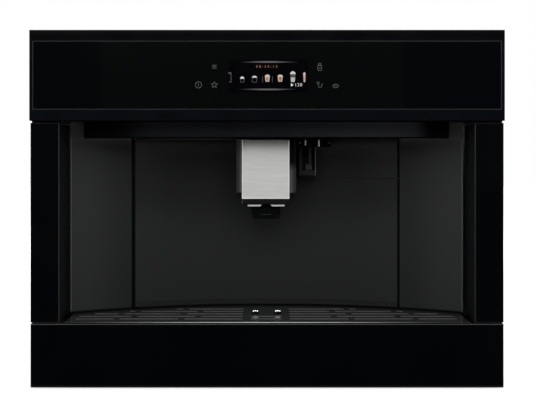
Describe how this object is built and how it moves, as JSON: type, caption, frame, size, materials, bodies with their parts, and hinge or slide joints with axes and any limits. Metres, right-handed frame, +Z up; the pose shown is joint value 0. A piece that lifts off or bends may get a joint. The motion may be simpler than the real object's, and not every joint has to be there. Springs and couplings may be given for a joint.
{
  "type": "built in coffee machine",
  "caption": "Built-in bean to cup coffee machine: black glass front with a cup niche, sliding steel spout, service door, drip tray drawer and pull-out runners.",
  "frame": {"origin": "middle of the footprint, at the level of the cabinet shelf that the runners stand on", "axes": "+Z up, -Y towards the user (the glass front looks along -Y), +X to the right seen from the front"},
  "size_m": [0.595, 0.475, 0.45],
  "materials": {
    "black_glass": "polished black backed glass",
    "gloss_black": "gloss black moulding",
    "display": "dark display with lit cup symbols",
    "board": "green circuit board",
    "wall_plastic": "fine satin dark grey moulding",
    "black_plastic": "satin black moulding",
    "grille_black": "dark coated drain grille",
    "steel": "brushed",
    "chrome": "bright plated",
    "zinc_sheet": "zinc coated sheet",
    "cast_alloy": "cast and machined",
    "grey_plastic": "dark grey moulding",
    "clear_plastic": "clear smoked plastic",
    "pipe_white": "white heat resistant tube",
    "lamp_lens": "opal lens"
  },
  "bodies": {
    "cabinet_runners": {"cabinet_runners": "zinc_sheet"},
    "middle_runners": {"left_middle_runner": "cast_alloy", "right_middle_runner": "cast_alloy"},
    "machine": {"fascia_frame": "gloss_black", "fascia_glass": "black_glass", "display_module": "display", "touch_board": "board", "left_pillar_glass": "black_glass", "right_pillar_glass": "black_glass", "left_pillar_carrier": "wall_plastic", "right_pillar_carrier": "wall_plastic", "left_niche_wall": "wall_plastic", "right_niche_wall": "wall_plastic", "door_sill": "wall_plastic", "connector_panel": "wall_plastic", "lamp_ledge": "gloss_black", "niche_lamp": "lamp_lens", "upper_deck": "zinc_sheet", "connector_block": "black_plastic", "connector_housing": "black_plastic", "steam_pipe": "pipe_white", "chassis_base": "zinc_sheet", "left_side_panel": "zinc_sheet", "right_side_panel": "zinc_sheet", "rear_panel": "zinc_sheet", "bay_floor": "zinc_sheet", "left_machine_runner": "zinc_sheet", "right_machine_runner": "zinc_sheet", "water_tank": "clear_plastic", "water_tank_lid": "grey_plastic", "grounds_container": "grey_plastic", "brew_frame": "grey_plastic", "grinder_body": "cast_alloy", "bean_container": "clear_plastic", "ground_coffee_chute": "grey_plastic", "top_cover": "zinc_sheet", "thermoblock": "cast_alloy", "water_pump": "cast_alloy", "control_board": "board", "power_inlet": "black_plastic"},
    "service_door": {"door_skin": "wall_plastic", "door_inner_shell": "grey_plastic", "door_hinge_post": "cast_alloy", "spout_guide": "black_plastic"},
    "coffee_spout": {"spout_cover": "steel", "spout_body": "black_plastic", "spout_bright_strips": "chrome", "spout_nozzle_block": "black_plastic"},
    "drip_tray": {"tray_front_glass": "black_glass", "drip_basin": "black_plastic", "tray_grille": "grille_black", "left_tray_stud": "chrome", "right_tray_stud": "chrome"},
    "connector_lever": {"connector_lever": "grey_plastic"},
    "brew_carriage": {"brew_carriage": "black_plastic"},
    "grinder_burr": {"grinder_burr": "cast_alloy"},
    "bean_lid": {"bean_lid": "gloss_black"},
    "ground_coffee_lid": {"ground_coffee_lid": "gloss_black"},
    "grind_knob": {"grind_knob": "gloss_black"},
    "main_switch_rocker": {"main_switch_rocker": "grey_plastic"}
  },
  "joints": [
    {"name": "machine_slide", "type": "slide", "parent": "cabinet_runners", "child": "machine", "axis": [0, -1, 0], "range_m": [0, 0.28]},
    {"name": "middle_runner_slide", "type": "slide", "parent": "cabinet_runners", "child": "middle_runners", "axis": [0, -1, 0], "range_m": [0, 0.14]},
    {"name": "door_hinge", "type": "hinge", "parent": "machine", "child": "service_door", "pos_m": [-0.1765, -0.115, 0.2], "axis": [0, 0, -1], "range_deg": [0, 95]},
    {"name": "spout_slide", "type": "slide", "parent": "service_door", "child": "coffee_spout", "axis": [0, 0, -1], "range_m": [0, 0.055]},
    {"name": "tray_slide", "type": "slide", "parent": "machine", "child": "drip_tray", "axis": [0, -1, 0], "range_m": [0, 0.17]},
    {"name": "lever_swing", "type": "hinge", "parent": "machine", "child": "connector_lever", "pos_m": [0.0585, -0.1275, 0.3032], "axis": [1, 0, 0], "range_deg": [0, 15]},
    {"name": "brew_lift", "type": "slide", "parent": "machine", "child": "brew_carriage", "axis": [0, 0, 1], "range_m": [0, 0.052]},
    {"name": "burr_spin", "type": "hinge", "parent": "machine", "child": "grinder_burr", "pos_m": [0.005, 0.01, 0.28], "axis": [0, 0, 1], "continuous": true},
    {"name": "bean_lid_hinge", "type": "hinge", "parent": "machine", "child": "bean_lid", "pos_m": [0.005, 0.0853, 0.4455], "axis": [-1, 0, 0], "range_deg": [0, 100]},
    {"name": "ground_coffee_lid_hinge", "type": "hinge", "parent": "machine", "child": "ground_coffee_lid", "pos_m": [0.13, 0.0393, 0.4455], "axis": [-1, 0, 0], "range_deg": [0, 100]},
    {"name": "grind_knob_turn", "type": "hinge", "parent": "machine", "child": "grind_knob", "pos_m": [-0.11, 0.01, 0.445], "axis": [0, 0, 1], "range_deg": [-120, 120]},
    {"name": "main_switch_rock", "type": "hinge", "parent": "machine", "child": "main_switch_rocker", "pos_m": [0.183, 0.2335, 0.115], "axis": [-1, 0, 0], "range_deg": [0, 16]}
  ],
  "couplings": [
    {"joint": "middle_runner_slide", "follows": "machine_slide", "ratio": 0.5}
  ]
}
